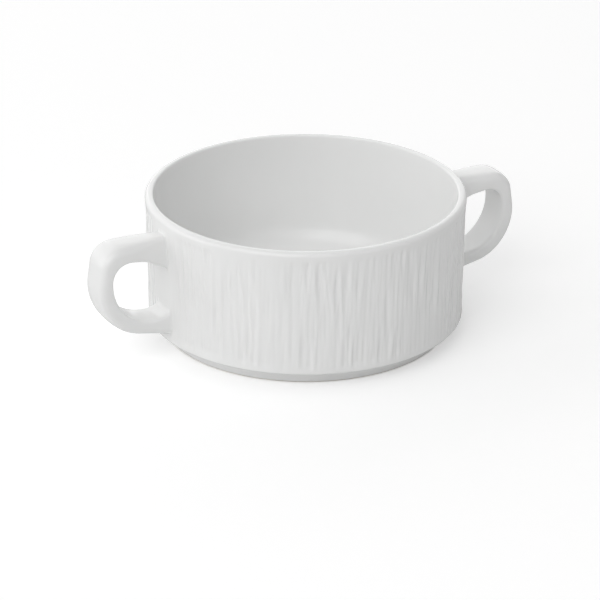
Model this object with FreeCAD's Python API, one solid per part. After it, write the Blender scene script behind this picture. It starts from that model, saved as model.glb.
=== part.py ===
import FreeCAD, Part
import math
import os
import random

# Bouillon cup in glazed porcelain: a low straight bowl with two ear handles and a set-back foot
# ring, all one piece, with a carved relief of short upright strokes round its outer wall.
# Millimetres. +Z is up, the origin is the centre of the foot's plane, the handles stand along X.

# Bowl
rim_radius = 53.0
cup_height = 47.5
waist_radius = 52.2          # outside of the wall at its lower edge
waist_edge_radius = 0.9
lip_thickness = 2.85
lip_outer_radius = 1.6
lip_inner_radius = 0.7
wall_thickness = 3.8         # at the foot of the wall, which thins towards the lip
floor_thickness = 4.4
bowl_corner_radius = 11.0    # inside, between wall and floor
turning_play = 0.1           # how far a turned rounding's flats may leave its true arc

# Foot ring, set back so that one cup sits in the rim of another
foot_setback = 5.2           # from the wall's lower edge in to the ring
foot_height = 4.8            # from the table to the underside of the wall
foot_flare = 1.5             # how much wider the ring is at its top
foot_ring_width = 3.2
foot_recess = 2.0            # from the table to the underside of the floor
foot_edge_radius = 0.7

# Ear handles: a strap whose outline is drawn in the plane through the cup's axis
handle_width = 12.4
handle_outer_edge_radius = 3.3
handle_gap_edge_bevel = 1.3
handle_reach = 27.0          # from the rim's radius to the outline's lower outer corner
handle_top_drop = 4.5        # from the rim down to the handle's top, at the wall
handle_top_fall = 0.9        # how much the top falls from the wall to the outer corner
handle_side_slant = 3.9      # how much further out the lower corner is than the upper one
handle_bottom_rise = 4.5     # from the underside of the wall up to the handle, at the wall
handle_belly = 5.1           # how much higher the lower corner is than the bottom at the wall
upper_corner_radius = 7.7
lower_corner_radius = 17.7
corner_thickness_top = 4.1
strap_thickness = 3.0        # measured between the outlines' upper corners, along X
gap_side_slant = 0.6         # how much nearer the wall the gap's lower corner is
gap_upper_radius = 7.5
gap_lower_radius = 15.2
upper_root_height = 12.0     # where the strap enters the wall
upper_root_length = 6.3      # the stretch in which the strap thickens towards the wall
upper_neck_thickness = 7.0   # where that stretch begins
upper_root_radius = 8.0
lower_root_height = 8.6
lower_root_length = 2.6
lower_neck_thickness = 5.9
lower_root_radius = 2.5

# Carved relief on the outer wall: upright strokes cut side by side with a chisel. Each starts at
# full width and depth and runs out to a point, and neighbours in a column run opposite ways.
stroke_margin_top = 4.2      # smooth band under the rim
stroke_margin_bottom = 1.6   # smooth band above the wall's lower edge
stroke_handle_clearance = 1.2
stroke_width_min = 1.8
stroke_width_max = 3.2
stroke_length_min = 9.0
stroke_length_max = 30.0
stroke_depth_share = 0.16    # of the stroke's width
stroke_stop_length = 1.6     # how far the steep end falls from the surface to the full depth
stroke_land = 0.4            # left standing between neighbouring columns
stroke_end_gap = 0.8         # left standing between two strokes of one column
stroke_lean_degrees = 1.2
carving_seed = 21


def corner_setbacks(points, radii):
    """How far from each corner its rounding starts, where two neighbours share the run between."""
    setbacks = [0] * len(points)
    for i in range(1, len(points) - 1):
        turn = (points[i - 1] - points[i]).getAngle(points[i + 1] - points[i])
        setbacks[i] = radii[i] / math.tan(turn / 2)
    for i in range(len(points) - 1):
        crowding = (setbacks[i] + setbacks[i + 1]) / (points[i + 1] - points[i]).Length
        if crowding > 1:
            setbacks[i] /= crowding
            setbacks[i + 1] /= crowding
    return setbacks


def rounded_path(corners, play=0):
    """
    Wire through (x, z, radius) corners in the XZ plane, with tangent arcs at the corners. With a
    play, each arc becomes the fewest equal flats that leave it by no more than that.
    """
    points = [FreeCAD.Vector(x, 0, z) for x, z, radius in corners]
    setbacks = corner_setbacks(points, [radius for x, z, radius in corners])
    edges = []
    start = points[0]
    for i in range(1, len(points) - 1):
        here = points[i]
        if setbacks[i] == 0:
            edges.append(Part.makeLine(start, here))
            start = here
            continue
        back = (points[i - 1] - here).normalize()
        on = (points[i + 1] - here).normalize()
        half_angle = back.getAngle(on) / 2
        radius = setbacks[i] * math.tan(half_angle)
        inward = (back + on).normalize()
        arc_start = here + back * setbacks[i]
        arc_middle = here + inward * (radius / math.sin(half_angle) - radius)
        arc_end = here + on * setbacks[i]
        if (arc_start - start).Length > 1e-6:
            edges.append(Part.makeLine(start, arc_start))
        arc = Part.Arc(arc_start, arc_middle, arc_end)
        if play:
            turn = math.pi - 2 * half_angle
            flats = math.ceil(turn / (2 * math.acos(1 - min(play / radius, 0.5))))
            bends = arc.discretize(flats + 1)
            edges += [Part.makeLine(a, b) for a, b in zip(bends, bends[1:])]
        else:
            edges.append(arc.toShape())
        start = arc_end
    edges.append(Part.makeLine(start, points[-1]))
    return Part.Wire(edges)


def closed_face(path):
    """Face inside a path whose ends are joined by a straight edge."""
    ends = path.OrderedVertexes
    closing = Part.makeLine(ends[-1].Point, ends[0].Point)
    return Part.Face(Part.Wire(path.Edges + [closing]))


def wall_radius(z):
    """Outside of the wall at a height."""
    share = (z - foot_height) / (cup_height - foot_height)
    return waist_radius + (rim_radius - waist_radius) * share


def make_bowl():
    """Bowl and foot ring, turned from one half section."""
    floor_top = foot_recess + floor_thickness
    foot_radius = waist_radius - foot_setback
    foot_inner_radius = foot_radius - foot_ring_width
    section = rounded_path([
        (0, foot_recess, 0),
        (foot_inner_radius, foot_recess, 0),
        (foot_inner_radius, 0, foot_edge_radius),
        (foot_radius, 0, foot_edge_radius),
        (foot_radius + foot_flare, foot_height, 0),
        (waist_radius, foot_height, waist_edge_radius),
        (rim_radius, cup_height, lip_outer_radius),
        (rim_radius - lip_thickness, cup_height, lip_inner_radius),
        (waist_radius - wall_thickness, floor_top, bowl_corner_radius),
        (0, floor_top, 0),
    ], turning_play)
    return closed_face(section).revolve(FreeCAD.Vector(), FreeCAD.Vector(0, 0, 1), 360)


def at_wall(z):
    """Path point in the middle of the wall's thickness, where a handle's outline ends."""
    return (wall_radius(z) - lip_thickness / 2, z, 0)


def make_handle():
    """One ear handle on the +X side, with rounded edges, rooted in the thickness of the wall."""
    top_z = cup_height - handle_top_drop
    bottom_z = foot_height + handle_bottom_rise
    upper_corner_x = rim_radius + handle_reach - handle_side_slant
    upper_corner_z = top_z - handle_top_fall
    gap_corner_x = upper_corner_x - strap_thickness
    outside = rounded_path([
        at_wall(top_z),
        (upper_corner_x, upper_corner_z, upper_corner_radius),
        (rim_radius + handle_reach, bottom_z + handle_belly, lower_corner_radius),
        at_wall(bottom_z),
    ])
    gap = rounded_path([
        at_wall(top_z - upper_root_height),
        (wall_radius(top_z) + upper_root_length, top_z - upper_neck_thickness, upper_root_radius),
        (gap_corner_x, upper_corner_z - corner_thickness_top, gap_upper_radius),
        (gap_corner_x - gap_side_slant, bottom_z + lower_neck_thickness, gap_lower_radius),
        (wall_radius(bottom_z) + lower_root_length, bottom_z + lower_neck_thickness, lower_root_radius),
        at_wall(bottom_z + lower_root_height),
    ])
    half_width = FreeCAD.Vector(0, handle_width / 2, 0)
    blank = closed_face(outside).cut(closed_face(gap)).Faces[0]
    blank.translate(half_width * -1)
    strap = blank.extrude(half_width * 2)
    strap = strap.makeFillet(handle_outer_edge_radius, edges_along(strap, outside))
    return strap.makeChamfer(handle_gap_edge_bevel, edges_along(strap, gap))


def edges_along(strap, path):
    """The edges of the strap's two side faces that follow an outline."""
    found = []
    for edge in strap.Edges:
        middle = edge.valueAt((edge.FirstParameter + edge.LastParameter) / 2)
        if abs(abs(middle.y) - handle_width / 2) < 0.01 and edge.BoundBox.YLength < 0.01:
            if path.distToShape(Part.Vertex(middle.x, 0, middle.z))[0] < 0.01:
                found.append(edge)
    return found


def make_plain_cup():
    """Bowl with both handles, before its wall is carved."""
    right = make_handle()
    left = right.mirror(FreeCAD.Vector(), FreeCAD.Vector(1, 0, 0))
    return make_bowl().fuse([right, left])


def lay_out_strokes():
    """
    Each stroke as (angle, z, width, length, lean): columns side by side from handle to handle. A
    lean of about half a turn stands a stroke on its head.
    """
    carver = random.Random(carving_seed)
    panel_start = math.asin((handle_width / 2 + stroke_handle_clearance) / rim_radius)
    lowest = foot_height + stroke_margin_bottom
    highest = cup_height - stroke_margin_top
    strokes = []
    for panel_centre in (math.pi / 2, -math.pi / 2):
        angle = panel_start - math.pi / 2
        while True:
            width = carver.uniform(stroke_width_min, stroke_width_max)
            pitch = (width + stroke_land) / rim_radius
            if angle + pitch > math.pi / 2 - panel_start:
                break
            top = highest - carver.uniform(0, stroke_length_min / 2)
            while top - stroke_length_min > lowest:
                length = min(carver.uniform(stroke_length_min, stroke_length_max), top - lowest)
                lean = carver.uniform(-stroke_lean_degrees, stroke_lean_degrees) + 180 * (len(strokes) % 2)
                strokes.append((panel_centre + angle + pitch / 2, top - length / 2, width, length, lean))
                top -= length + stroke_end_gap
            angle += pitch
    return strokes


def make_chip(angle, z, width, length, lean):
    """
    The chip that one stroke takes out: a four-sided sliver with its keel inside the wall and its
    back outside, both as far from the surface as the stroke is deep.
    """
    depth = width * stroke_depth_share
    keel_z = (length - stroke_stop_length) / 2
    keel = FreeCAD.Vector(-depth, 0, keel_z)
    back = [
        FreeCAD.Vector(depth, width, keel_z + stroke_stop_length),
        FreeCAD.Vector(depth, -width, keel_z + stroke_stop_length),
        FreeCAD.Vector(depth, 0, -length - keel_z),
    ]
    faces = [Part.Face(Part.makePolygon(back + back[:1]))]
    for here, there in zip(back, back[1:] + back[:1]):
        faces.append(Part.Face(Part.makePolygon([here, there, keel, here])))
    chip = Part.makeSolid(Part.makeShell(faces))
    slope = math.atan((rim_radius - waist_radius) / (cup_height - foot_height))
    chip.rotate(FreeCAD.Vector(), FreeCAD.Vector(1, 0, 0), lean)
    chip.rotate(FreeCAD.Vector(), FreeCAD.Vector(0, 1, 0), math.degrees(slope))
    chip.translate(FreeCAD.Vector(wall_radius(z), 0, z))
    chip.rotate(FreeCAD.Vector(), FreeCAD.Vector(0, 0, 1), math.degrees(angle))
    return chip


chips = [make_chip(*stroke) for stroke in lay_out_strokes()]
cup = make_plain_cup().cut(chips)
os.makedirs("parts", exist_ok=True)
cup.Solids[0].exportStep("parts/bouillon_cup.step")
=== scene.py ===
import math

import bmesh
import bpy
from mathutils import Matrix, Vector, noise


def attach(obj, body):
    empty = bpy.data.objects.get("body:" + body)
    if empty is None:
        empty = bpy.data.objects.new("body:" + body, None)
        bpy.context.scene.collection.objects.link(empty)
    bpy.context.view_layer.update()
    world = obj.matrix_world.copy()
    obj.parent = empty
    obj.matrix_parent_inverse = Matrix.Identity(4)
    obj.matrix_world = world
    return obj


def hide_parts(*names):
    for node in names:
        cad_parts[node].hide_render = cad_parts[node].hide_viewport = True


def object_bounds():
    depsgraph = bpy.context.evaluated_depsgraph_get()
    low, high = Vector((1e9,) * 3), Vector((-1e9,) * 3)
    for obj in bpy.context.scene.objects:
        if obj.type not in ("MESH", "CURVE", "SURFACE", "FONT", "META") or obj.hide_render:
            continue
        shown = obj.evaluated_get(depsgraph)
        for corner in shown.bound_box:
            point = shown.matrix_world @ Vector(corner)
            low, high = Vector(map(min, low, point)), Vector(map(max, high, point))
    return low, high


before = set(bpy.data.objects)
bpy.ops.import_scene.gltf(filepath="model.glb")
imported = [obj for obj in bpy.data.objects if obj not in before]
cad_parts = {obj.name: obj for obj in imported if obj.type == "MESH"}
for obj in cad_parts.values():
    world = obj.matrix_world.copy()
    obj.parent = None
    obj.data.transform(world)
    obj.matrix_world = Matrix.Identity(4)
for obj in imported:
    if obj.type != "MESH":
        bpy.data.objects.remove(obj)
cad_low, cad_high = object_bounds()

# The bowl with its foot ring. It is porcelain, formed on a wheel by a turning template, so its
# section is the same all round: a nearly upright wall, a rounded lip and a set-back foot ring.
# The carved outer wall gets narrow columns of faces, and the plain inside and foot get wide ones.
rim_radius = 0.05298
cup_height = cad_high.z
waist_radius = 0.0522
waist_edge_radius = 0.0009
waist_edge_segments = 6
lip_thickness = 0.00285
lip_outer_radius = 0.0016
lip_outer_segments = 9
lip_inner_radius = 0.0007
lip_inner_segments = 6
wall_thickness = 0.0038
floor_thickness = 0.0044
bowl_corner_radius = 0.011
bowl_corner_segments = 14
foot_radius = 0.0470
foot_height = 0.0048
foot_flare = 0.0015
foot_ring_width = 0.0032
foot_recess = 0.0020
foot_edge_radius = 0.0007
foot_edge_segments = 5
foot_inner_radius = foot_radius - foot_ring_width
floor_top = foot_recess + floor_thickness

# Where the columns change their width, inside under the lip and on the foot's flare
lip_seam_drop = 0.0030
lip_seam_width = 0.0008
lip_seam_z = cup_height - lip_seam_drop
foot_seam_share = 0.85

# How finely the straight parts of the section and its turn are divided
wall_cuts = 46
underside_cuts = 2
inside_cuts = 8
bowl_floor_cuts = 5
recess_cuts = 3
carved_columns = 1080
plain_columns = 270
sectors = 18

# How near two points count as one, and how near they are merged where two sectors meet
same_place = 1e-6
sector_weld = 2e-6


def all_deselected():
    """Back in object mode with nothing selected."""
    if bpy.context.mode != "OBJECT":
        bpy.ops.object.mode_set(mode="OBJECT")
    bpy.ops.object.select_all(action="DESELECT")


def pick(piece, *others):
    """In object mode, selects the piece and the others alone, with the piece as the active one."""
    all_deselected()
    for each in (piece, *others):
        each.select_set(True)
    bpy.context.view_layer.objects.active = piece


def start_chain(name, point):
    """A new mesh object in edit mode that is one vertex, standing at the point."""
    all_deselected()
    bpy.ops.mesh.primitive_plane_add(size=0.001, location=point)
    piece = bpy.context.object
    piece.name = name
    bpy.ops.object.transform_apply(location=True, rotation=False, scale=False)
    bpy.ops.object.mode_set(mode="EDIT")
    bpy.ops.mesh.select_mode(type="VERT")
    bpy.ops.mesh.merge(type="CENTER")
    return piece


def pull_chain(points):
    """Extrudes the selected end vertex through the points, one after another."""
    mesh = bmesh.from_edit_mesh(bpy.context.object.data)
    here = next(v.co.copy() for v in mesh.verts if v.select)
    for point in points:
        step = Vector(point) - here
        bpy.ops.mesh.extrude_vertices_move(TRANSFORM_OT_translate={"value": step})
        here = Vector(point)


def select_verts(wanted):
    """Selects the vertices whose place passes the test, and nothing else."""
    bpy.ops.mesh.select_mode(type="VERT")
    bpy.ops.mesh.select_all(action="DESELECT")
    mesh = bmesh.from_edit_mesh(bpy.context.object.data)
    for v in mesh.verts:
        if wanted(v.co):
            v.select = True
    mesh.select_flush_mode()
    bmesh.update_edit_mesh(bpy.context.object.data)


def round_corner(corner, before, after, radius, segments):
    """Rounds one corner of a chain with an arc of the given radius."""
    corner = Vector(corner)
    half_angle = (Vector(before) - corner).angle(Vector(after) - corner) / 2
    select_verts(lambda co: (co - corner).length < same_place)
    bpy.ops.mesh.bevel(offset=radius / math.tan(half_angle), segments=segments, affect="VERTICES")


def round_chain(name, corners):
    """
    A chain through corners in the XZ plane. A corner is (x, z), or (x, z, radius, segments) where
    it is rounded.
    """
    points = [(x, 0, z) for x, z, *rounding in corners]
    piece = start_chain(name, points[0])
    pull_chain(points[1:])
    for i, (x, z, *rounding) in enumerate(corners):
        if rounding:
            round_corner(points[i], points[i - 1], points[i + 1], *rounding)
    return piece


def subdivide_between(low, high, cuts):
    """Divides the straight edge of a chain that runs between two corners' roundings."""
    low = Vector((low[0], 0, low[1]))
    high = Vector((high[0], 0, high[1]))
    along = (high - low).normalized()
    select_verts(lambda co: (co - low).cross(along).length < same_place
                 and -same_place <= (co - low).dot(along) <= (high - low).length + same_place)
    bpy.ops.mesh.subdivide(number_cuts=cuts)


def turned(name, corners, cuts, columns):
    """
    Turns a chain about the cup's axis. The cuts say how often the straight edge after a corner is
    divided. One sector is spun and repeated, because a long spin takes much longer.
    """
    piece = round_chain(name, corners)
    for i, count in cuts.items():
        subdivide_between(corners[i], corners[i + 1], count)
    sector = 2 * math.pi / sectors
    bpy.ops.mesh.select_all(action="SELECT")
    bpy.ops.mesh.spin(steps=columns // sectors, angle=sector, center=(0, 0, 0), axis=(0, 0, 1))
    all_deselected()
    bpy.ops.object.empty_add(rotation=(0, 0, sector))
    turn = bpy.context.object
    pick(piece)
    around = piece.modifiers.new("around", "ARRAY")
    around.count = sectors
    around.use_relative_offset = False
    around.use_object_offset = True
    around.offset_object = turn
    bpy.ops.object.modifier_apply(modifier=around.name)
    bpy.data.objects.remove(turn)
    bpy.ops.object.mode_set(mode="EDIT")
    bpy.ops.mesh.select_all(action="SELECT")
    bpy.ops.mesh.remove_doubles(threshold=sector_weld)
    all_deselected()
    return piece


def inside_wall(z):
    """The straight inside's radius at a height."""
    at_rim = rim_radius - lip_thickness
    at_floor = waist_radius - wall_thickness
    return at_rim + (at_floor - at_rim) * (cup_height - z) / (cup_height - floor_top)


bowl = turned("cup_body", [
    (foot_radius + foot_flare, foot_height),
    (waist_radius, foot_height, waist_edge_radius, waist_edge_segments),
    (rim_radius, cup_height, lip_outer_radius, lip_outer_segments),
    (rim_radius - lip_thickness, cup_height, lip_inner_radius, lip_inner_segments),
    (inside_wall(lip_seam_z), lip_seam_z),
], {0: underside_cuts, 1: wall_cuts}, carved_columns)
inside = turned("inside", [
    (inside_wall(lip_seam_z - lip_seam_width), lip_seam_z - lip_seam_width),
    (inside_wall(floor_top), floor_top, bowl_corner_radius, bowl_corner_segments),
    (0, floor_top),
], {0: inside_cuts, 1: bowl_floor_cuts}, plain_columns)
foot = turned("foot", [
    (0, foot_recess),
    (foot_inner_radius, foot_recess, foot_edge_radius, foot_edge_segments),
    (foot_inner_radius, 0, foot_edge_radius, foot_edge_segments),
    (foot_radius, 0, foot_edge_radius, foot_edge_segments),
    (foot_radius + foot_flare * foot_seam_share, foot_height * foot_seam_share),
], {0: recess_cuts}, plain_columns)
pick(bowl, inside, foot)
bpy.ops.object.join()
bpy.ops.object.mode_set(mode="EDIT")
bpy.ops.mesh.select_mode(type="EDGE")
for upper in (True, False):
    bpy.ops.mesh.select_all(action="DESELECT")
    mesh = bmesh.from_edit_mesh(bowl.data)
    for edge in mesh.edges:
        edge.select = edge.is_boundary and (edge.verts[0].co.z > cup_height / 2) == upper
    bmesh.update_edit_mesh(bowl.data)
    bpy.ops.mesh.bridge_edge_loops()
bpy.ops.mesh.select_all(action="SELECT")
bpy.ops.mesh.normals_make_consistent(inside=False)
all_deselected()

# The relief on the outer wall. The master for the mould was carved by hand with upright strokes of a
# chisel, like bark, and the glaze softens them. It fades out under the lip, at the waist and beside the
# handles, and it is stronger in some places than in others.
relief_top_margin = 0.0022
relief_bottom_margin = 0.0012
relief_handle_clearance = 0.0008
relief_fade = 0.0025
handle_width = 0.0124
patch_width = 0.0090
patch_height = 0.0160
patch_least = 0.38
patch_contrast = 0.35
wall_tolerance = 1e-5


def smooth_step(low, high, value):
    """0 below low, 1 above high, and a soft rise between."""
    share = min(max((value - low) / (high - low), 0), 1)
    return share * share * (3 - 2 * share)


def wall_radius(z):
    """The outer wall's radius at a height, without its relief."""
    return waist_radius + (rim_radius - waist_radius) * (z - foot_height) / (cup_height - foot_height)


def relief_strength(co):
    """How much of the relief a point of the bowl takes, from 0 to 1."""
    if abs(math.hypot(co.x, co.y) - wall_radius(co.z)) > wall_tolerance:
        return 0
    patch = noise.noise((co.x / patch_width, co.y / patch_width, co.z / patch_height))
    strength = patch_least + (1 - patch_least) * smooth_step(-patch_contrast, patch_contrast, patch)
    from_top = cup_height - co.z - relief_top_margin
    from_bottom = co.z - foot_height - relief_bottom_margin
    from_handle = abs(co.y) - handle_width / 2 - relief_handle_clearance
    for distance in (from_top, from_bottom, from_handle):
        strength *= smooth_step(0, relief_fade, distance)
    return strength


relief = bowl.vertex_groups.new(name="relief")
for v in bowl.data.vertices:
    strength = relief_strength(v.co)
    if strength > 0:
        relief.add([v.index], strength, "REPLACE")


def carve(name, kind, settings, stroke_width, stroke_length, lean, depth, crest):
    """
    Moves the wall in and out by a pattern that is drawn out into upright strokes. The crest is the
    pattern's value that stays on the wall's surface.
    """
    texture = bpy.data.textures.new(name, kind)
    for setting, value in settings.items():
        setattr(texture, setting, value)
    bpy.ops.object.empty_add(location=(stroke_length, 0, 0), rotation=(lean, lean, 0))
    strokes = bpy.context.object
    strokes.scale = (stroke_width, stroke_width, stroke_length)
    bpy.context.view_layer.update()
    pick(bowl)
    moved = bowl.modifiers.new(name, "DISPLACE")
    moved.texture = texture
    moved.texture_coords = "OBJECT"
    moved.texture_coords_object = strokes
    moved.vertex_group = relief.name
    moved.strength = depth
    moved.mid_level = crest
    bpy.ops.object.modifier_apply(modifier=moved.name)
    bpy.data.objects.remove(strokes)


chisel = {"distance_metric": "DISTANCE", "noise_scale": 1.0}
ridged = {"musgrave_type": "RIDGED_MULTIFRACTAL", "noise_basis": "IMPROVED_PERLIN", "noise_scale": 1.0,
          "octaves": 2.0, "lacunarity": 2.3, "dimension_max": 1.0, "offset": 1.0, "gain": 1.0}
carve("chisel_marks", "VORONOI", chisel,
      stroke_width=0.0016, stroke_length=0.019, lean=0.015, depth=0.0007, crest=0.82)
carve("crests", "MUSGRAVE", ridged,
      stroke_width=0.0034, stroke_length=0.034, lean=-0.02, depth=0.0004, crest=1.1)

# The two ear handles. Each is a crowned strap of porcelain, moulded by itself and stuck to the
# leather-hard wall with slip before the firing, so it meets the wall in a narrow seam. Towards its
# roots it thickens and narrows, more at the upper one.
handle_crown = 0.0006
handle_reach = 0.02688
handle_top_drop = 0.0045
handle_top_fall = 0.0006
handle_side_slant = 0.0039
handle_bottom_rise = 0.0045
handle_belly = 0.0051
upper_corner_radius = 0.0077
upper_corner_segments = 18
lower_corner_radius = 0.0177
lower_corner_segments = 28
corner_thickness_top = 0.0041
strap_thickness = 0.0030
gap_side_slant = 0.0006
gap_upper_radius = 0.0064
gap_upper_segments = 18
gap_lower_radius = 0.0146
gap_lower_segments = 26
upper_root_height = 0.0120
upper_root_length = 0.0080
upper_neck_thickness = 0.0070
upper_root_radius = 0.0080
upper_root_segments = 8
lower_root_height = 0.0086
lower_root_length = 0.0026
lower_neck_thickness = 0.0059
lower_root_radius = 0.0060
lower_root_segments = 6
lower_root_flare = 0.0015
outer_edge_radius = 0.0021
outer_edge_segments = 6
gap_edge_radius = 0.0011
gap_edge_segments = 5
upper_root_narrowing = 0.70
lower_root_narrowing = 0.84
narrowing_reach = 0.018
upper_root_rounding = 0.70
rounding_reach = 0.0075
root_margin = 0.0001

# Where the strap gets lines of edges: along it, from its middle, and across it, from the wall
crown_rows = (0, 0.0017, 0.0034)
seam_rows = (0.0002, 0.0006, 0.0012)
strap_row_pitch = 0.0024
strap_row_count = 8
strap_rows = [strap_row_pitch * (i + 1) for i in range(strap_row_count)]

# A face's normal tells the strap's faces apart: the least that it has along Y on the two sides, the
# most along Y on the outside and round the gap, and the least towards the cup at a root's end.
side_facing = 0.99
strap_facing = 0.40
root_facing = 0.98


def at_wall(z):
    """Path point in the middle of the wall's thickness, where the strap's outline ends."""
    return (wall_radius(z) - lip_thickness / 2, z)


top_z = cup_height - handle_top_drop
bottom_z = foot_height + handle_bottom_rise
upper_corner_x = rim_radius + handle_reach - handle_side_slant
upper_corner_z = top_z - handle_top_fall
gap_corner_x = upper_corner_x - strap_thickness
neck_z = bottom_z + lower_neck_thickness
gap_middle = Vector((rim_radius + handle_reach / 2, 0, (top_z + bottom_z) / 2))
top_end = at_wall(top_z - handle_crown)
upper_gap_end = at_wall(top_z - upper_root_height)
handle = round_chain("handle", [
    top_end,
    (upper_corner_x - handle_crown, upper_corner_z - handle_crown,
     upper_corner_radius - handle_crown, upper_corner_segments),
    (rim_radius + handle_reach - handle_crown, bottom_z + handle_belly + handle_crown,
     lower_corner_radius - handle_crown, lower_corner_segments),
    at_wall(bottom_z + handle_crown - lower_root_flare),
    at_wall(bottom_z + lower_root_height),
    (wall_radius(bottom_z) + lower_root_length, neck_z, lower_root_radius, lower_root_segments),
    (gap_corner_x - gap_side_slant, neck_z, gap_lower_radius, gap_lower_segments),
    (gap_corner_x, upper_corner_z - corner_thickness_top, gap_upper_radius, gap_upper_segments),
    (wall_radius(top_z) + upper_root_length, top_z - upper_neck_thickness,
     upper_root_radius, upper_root_segments),
    upper_gap_end,
])
ends = [Vector((x, 0, z)) for x, z in (top_end, upper_gap_end)]
select_verts(lambda co: min((co - end).length for end in ends) < same_place)
bpy.ops.mesh.edge_face_add()
bpy.ops.mesh.select_all(action="SELECT")
bpy.ops.mesh.edge_face_add()
bpy.ops.transform.translate(value=(0, -handle_width / 2, 0))
bpy.ops.mesh.extrude_region_move(TRANSFORM_OT_translate={"value": (0, handle_width, 0)})
bpy.ops.mesh.select_all(action="SELECT")
bpy.ops.mesh.normals_make_consistent(inside=False)


def on_outside(face):
    """Whether a face of the strap is on its outside and not round the gap or at a root's end."""
    middle = face.calc_center_median()
    at_root = face.normal.x < -root_facing and middle.x < rim_radius
    return face.normal.dot(middle - gap_middle) > 0 and not at_root


def slice_strap(places, normal):
    """Cuts the strap by a row of parallel planes, which adds a line of edges at each."""
    for place in places:
        bpy.ops.mesh.select_all(action="SELECT")
        bpy.ops.mesh.bisect(plane_co=place, plane_no=normal)


slice_strap([(0, 0, 0)] + [(0, side * y, 0) for y in crown_rows[1:] for side in (-1, 1)], (0, 1, 0))
for y in crown_rows:
    select_verts(lambda co: abs(abs(co.y) - y) < same_place)
    mesh = bmesh.from_edit_mesh(handle.data)
    mesh.normal_update()
    for v in mesh.verts:
        if not any(on_outside(face) for face in v.link_faces):
            v.select = False
    mesh.select_flush_mode()
    bmesh.update_edit_mesh(handle.data)
    rise = handle_crown * (1 - (2 * y / handle_width) ** 2)
    bpy.ops.transform.shrink_fatten(value=rise)


def bevel_long_edges(outer, radius, segments):
    """Rounds the strap's long edges on the outside, or those round the gap."""
    root_end = at_wall(top_z)[0] + wall_tolerance
    bpy.ops.mesh.select_mode(type="EDGE")
    bpy.ops.mesh.select_all(action="DESELECT")
    mesh = bmesh.from_edit_mesh(handle.data)
    mesh.normal_update()
    for edge in mesh.edges:
        sides = [face for face in edge.link_faces if abs(face.normal.y) > side_facing]
        others = [face for face in edge.link_faces if abs(face.normal.y) < strap_facing]
        if len(sides) == 1 and len(others) == 1 and others[0].calc_center_median().x > root_end:
            edge.select = on_outside(others[0]) == outer
    bmesh.update_edit_mesh(handle.data)
    bpy.ops.mesh.bevel(offset=radius, segments=segments, affect="EDGES")


def narrow_root(wanted, share, z, reach):
    """Narrows the strap to a share of its width at the wall, and less and less out to the reach."""
    select_verts(wanted)
    bpy.ops.transform.resize(value=(1, share, 1), center_override=(rim_radius, 0, z),
                             use_proportional_edit=True, proportional_size=reach,
                             proportional_edit_falloff="SMOOTH")


bevel_long_edges(True, outer_edge_radius, outer_edge_segments)
bevel_long_edges(False, gap_edge_radius, gap_edge_segments)
slice_strap([(rim_radius + x, 0, 0) for x in (*seam_rows, *strap_rows)], (1, 0, 0))
for z, share in ((top_z, upper_root_narrowing), (bottom_z, lower_root_narrowing)):
    narrow_root(lambda co: co.x < rim_radius and abs(co.z - z) < upper_root_height + root_margin,
                share, z, narrowing_reach)
narrow_root(lambda co: co.x < rim_radius and co.z > top_z - 2 * handle_crown,
            upper_root_rounding, top_z, rounding_reach)

# The handles' joints. Slip and glaze fill the seam between strap and wall, so it is softened once the
# straps are united with the bowl. The unions leave points in the middle of some edges, where two
# faces could fold over each other when they are made triangles, so these points are dissolved.
union_weld = 1e-5
seam_softness = 0.0006
seam_depth = 0.0001
seam_smoothing = 0.5
seam_passes = 5
pick(handle)
bpy.ops.object.duplicate()
left_handle = bpy.context.object
left_handle.rotation_euler.z = math.pi
bpy.ops.object.transform_apply(location=False, rotation=True, scale=False)
for part in (handle, left_handle):
    pick(bowl)
    joined = bowl.modifiers.new("stuck_on", "BOOLEAN")
    joined.operation = "UNION"
    joined.solver = "MANIFOLD"
    joined.object = part
    bpy.ops.object.modifier_apply(modifier=joined.name)
    bpy.data.objects.remove(part)
bpy.ops.object.mode_set(mode="EDIT")
bpy.ops.mesh.select_all(action="SELECT")
bpy.ops.mesh.remove_doubles(threshold=union_weld)
bpy.ops.mesh.select_all(action="DESELECT")
mesh = bmesh.from_edit_mesh(bowl.data)
for v in mesh.verts:
    v.select = len(v.link_edges) == 2
bmesh.update_edit_mesh(bowl.data)
bpy.ops.mesh.dissolve_verts()
select_verts(lambda co: abs(co.y) < handle_width / 2 + seam_softness
             and -seam_depth < math.hypot(co.x, co.y) - wall_radius(co.z) < seam_softness
             and bottom_z - seam_softness < co.z < top_z + seam_softness)
bpy.ops.mesh.vertices_smooth(factor=seam_smoothing, repeat=seam_passes)
pick(bowl)
bpy.ops.object.shade_smooth()

# The glaze is a clear glassy coat over a white body, fired glossy. It is a little thicker in some
# places, and it is wiped off the foot ring's standing face, which shows the bare, creamy body.
glaze_white = (0.90, 0.90, 0.895, 1)
glaze_shade = (0.875, 0.88, 0.875, 1)
bare_body = (0.70, 0.67, 0.61, 1)
glaze_roughness = 0.15
thick_glaze_roughness = 0.20
bare_roughness = 0.60
glaze_line_start = 0.00027
glaze_line_end = 0.00063
thickness_scale = 60.0
ripple_scale = 260.0
ripple_height = 0.00002
ripple_strength = 0.5


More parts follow.
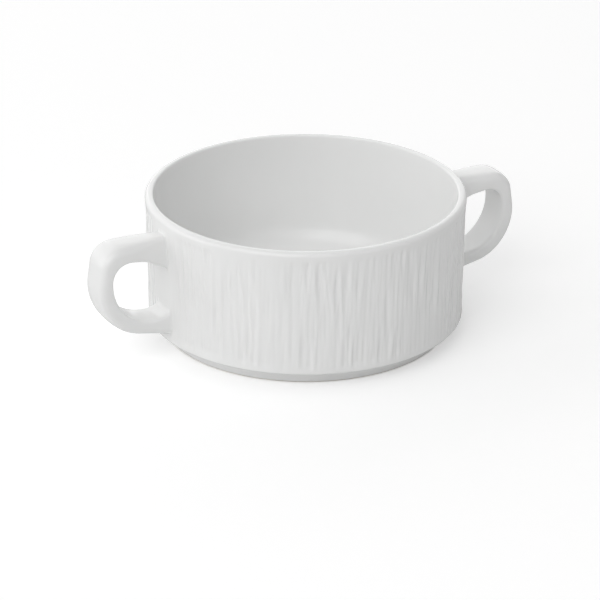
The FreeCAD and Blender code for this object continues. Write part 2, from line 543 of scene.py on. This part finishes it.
class Signal:
    """One output of a material's node tree. Maths on it adds Math nodes."""

    def __init__(self, tree, socket=None):
        self.tree = tree
        self.socket = socket

    def node(self, kind, settings, sockets, output=0):
        """Adds a node, with its settings first and then its sockets' values or links."""
        made = self.tree.nodes.new(kind)
        for name, value in settings.items():
            setattr(made, name, value)
        for name, value in sockets.items():
            if isinstance(value, Signal):
                self.tree.links.new(value.socket, made.inputs[name])
            else:
                made.inputs[name].default_value = value
        return Signal(self.tree, made.outputs[output] if made.outputs else None)

    def maths(self, operation, first, second):
        """A Math node on two values or signals."""
        return self.node("ShaderNodeMath", {"operation": operation}, {0: first, 1: second})

    def __add__(self, other):
        return self.maths("ADD", self, other)

    def __mul__(self, other):
        return self.maths("MULTIPLY", self, other)

    def __rsub__(self, other):
        return self.maths("SUBTRACT", other, self)

    __radd__ = __add__
    __rmul__ = __mul__


def new_material(name):
    """An empty material, and a signal to build its nodes with."""
    material = bpy.data.materials.new(name)
    material.use_nodes = True
    material.node_tree.nodes.clear()
    return material, Signal(material.node_tree)


porcelain, start = new_material("porcelain_glaze")
place = start.node("ShaderNodeTexCoord", {}, {}, "Object")
height = start.node("ShaderNodeSeparateXYZ", {}, {"Vector": place}, "Z")
glazed = start.node("ShaderNodeMapRange", {"interpolation_type": "SMOOTHSTEP"},
                    {"Value": height, "From Min": glaze_line_start, "From Max": glaze_line_end})
thickness = start.node("ShaderNodeTexNoise", {}, {"Vector": place, "Scale": thickness_scale, "Detail": 3.0})
glaze_colour = start.node("ShaderNodeMix", {"data_type": "RGBA"},
                          {"Factor": thickness, "A": glaze_shade, "B": glaze_white}, "Result")
colour = start.node("ShaderNodeMix", {"data_type": "RGBA"},
                    {"Factor": glazed, "A": bare_body, "B": glaze_colour}, "Result")
ripple = start.node("ShaderNodeTexNoise", {}, {"Vector": place, "Scale": ripple_scale, "Detail": 2.0})
normal = start.node("ShaderNodeBump", {},
                    {"Height": ripple, "Distance": ripple_height, "Strength": ripple_strength}, "Normal")
smoothness = (bare_roughness - glaze_roughness) - (thick_glaze_roughness - glaze_roughness) * thickness
surface = start.node("ShaderNodeBsdfPrincipled", {}, {
    "Base Color": colour,
    "Roughness": bare_roughness - glazed * smoothness,
    "IOR": 1.5,
    "Normal": normal,
})
start.node("ShaderNodeOutputMaterial", {}, {"Surface": surface})
bowl.data.materials.clear()
bowl.data.materials.append(porcelain)
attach(bowl, "root")
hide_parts("bouillon_cup")

# The studio. A floor of white paper keeps the cup's soft shadow and is lifted to white for the
# camera alone, and a white surround gives the glaze something pale to mirror.
floor_size = 6
floor_paper = (0.90, 0.90, 0.90, 1)
floor_lift = 0.295
pure_white = (1, 1, 1, 1)
surround_light = 0.40
bpy.ops.mesh.primitive_plane_add(size=floor_size, location=(0, 0, 0))
floor = bpy.context.object
floor.name = "floor"
paper, start = new_material("floor_paper")
lit = start.node("ShaderNodeBsdfDiffuse", {}, {"Color": floor_paper})
seen = start.node("ShaderNodeLightPath", {}, {}, "Is Camera Ray")
lift = start.node("ShaderNodeEmission", {}, {"Color": pure_white, "Strength": seen * floor_lift})
both = start.node("ShaderNodeAddShader", {}, {0: lit, 1: lift})
start.node("ShaderNodeOutputMaterial", {}, {"Surface": both})
floor.data.materials.append(paper)

world = bpy.data.worlds.new("studio")
bpy.context.scene.world = world
world.use_nodes = True
world.node_tree.nodes.clear()
start = Signal(world.node_tree)
seen = start.node("ShaderNodeLightPath", {}, {}, "Is Camera Ray")
mirrored = start.node("ShaderNodeLightPath", {}, {}, "Is Glossy Ray")
let_through = start.node("ShaderNodeLightPath", {}, {}, "Is Transmission Ray")
white = start.maths("MAXIMUM", start.maths("MAXIMUM", seen, mirrored), let_through)
sky = start.node("ShaderNodeBackground", {}, {
    "Color": pure_white,
    "Strength": surround_light + white * (1 - surround_light),
})
start.node("ShaderNodeOutputWorld", {}, {"Surface": sky})

# The camera stands where the photograph's did, about a metre off and well above the rim. The cup is
# turned so that one handle comes forward on the left.
cup_turn = math.radians(28.4)
camera_distance = 0.9971
camera_height = 0.4525
camera_tilt = 0.4193
camera_pan = -0.0018
camera_roll = 0.0027
sensor_width = 36
image_width = 600
focal_pixels = 3272
forward = Vector((math.sin(cup_turn), math.cos(cup_turn), 0))
sideways = Vector((math.cos(cup_turn), -math.sin(cup_turn), 0))
up = Vector((0, 0, 1))
bpy.ops.object.camera_add(location=up * camera_height - forward * camera_distance)
camera = bpy.context.object
camera.rotation_euler = (math.pi / 2 - camera_tilt, 0, -(cup_turn + camera_pan))
camera.rotation_euler.rotate_axis("Z", camera_roll)
camera.data.sensor_width = sensor_width
camera.data.lens = focal_pixels / image_width * sensor_width
bpy.context.scene.camera = camera
bpy.context.scene.view_settings.view_transform = "Standard"

# The lamps are large soft boxes all round the cup, as in a studio for goods. Most of the light comes
# from the left and the front, so the wall darkens gently to the right.
lamp_distance = 2.8
lamp_size = 2.2
lamp_aim_height = 0.02


def soft_box(name, azimuth, elevation, power):
    """
    A large square lamp that points at the cup. The azimuth is in degrees from the camera's side of
    the cup, positive to the right.
    """
    turn = math.radians(azimuth)
    rise = math.radians(elevation)
    level = sideways * math.sin(turn) - forward * math.cos(turn)
    away = level * math.cos(rise) + up * math.sin(rise)
    bpy.ops.object.light_add(type="AREA", location=up * lamp_aim_height + away * lamp_distance)
    lamp = bpy.context.object
    lamp.name = name
    lamp.rotation_euler = away.to_track_quat("Z", "Y").to_euler()
    lamp.data.shape = "SQUARE"
    lamp.data.size = lamp_size
    lamp.data.energy = power


soft_box("left_key", azimuth=-90, elevation=15, power=18)
soft_box("front_key", azimuth=-30, elevation=40, power=24)
soft_box("front", azimuth=0, elevation=30, power=5)
soft_box("low_back", azimuth=180, elevation=10, power=10)
soft_box("back_left", azimuth=-140, elevation=25, power=8)
soft_box("top", azimuth=0, elevation=90, power=4)
soft_box("high_back", azimuth=180, elevation=45, power=4)
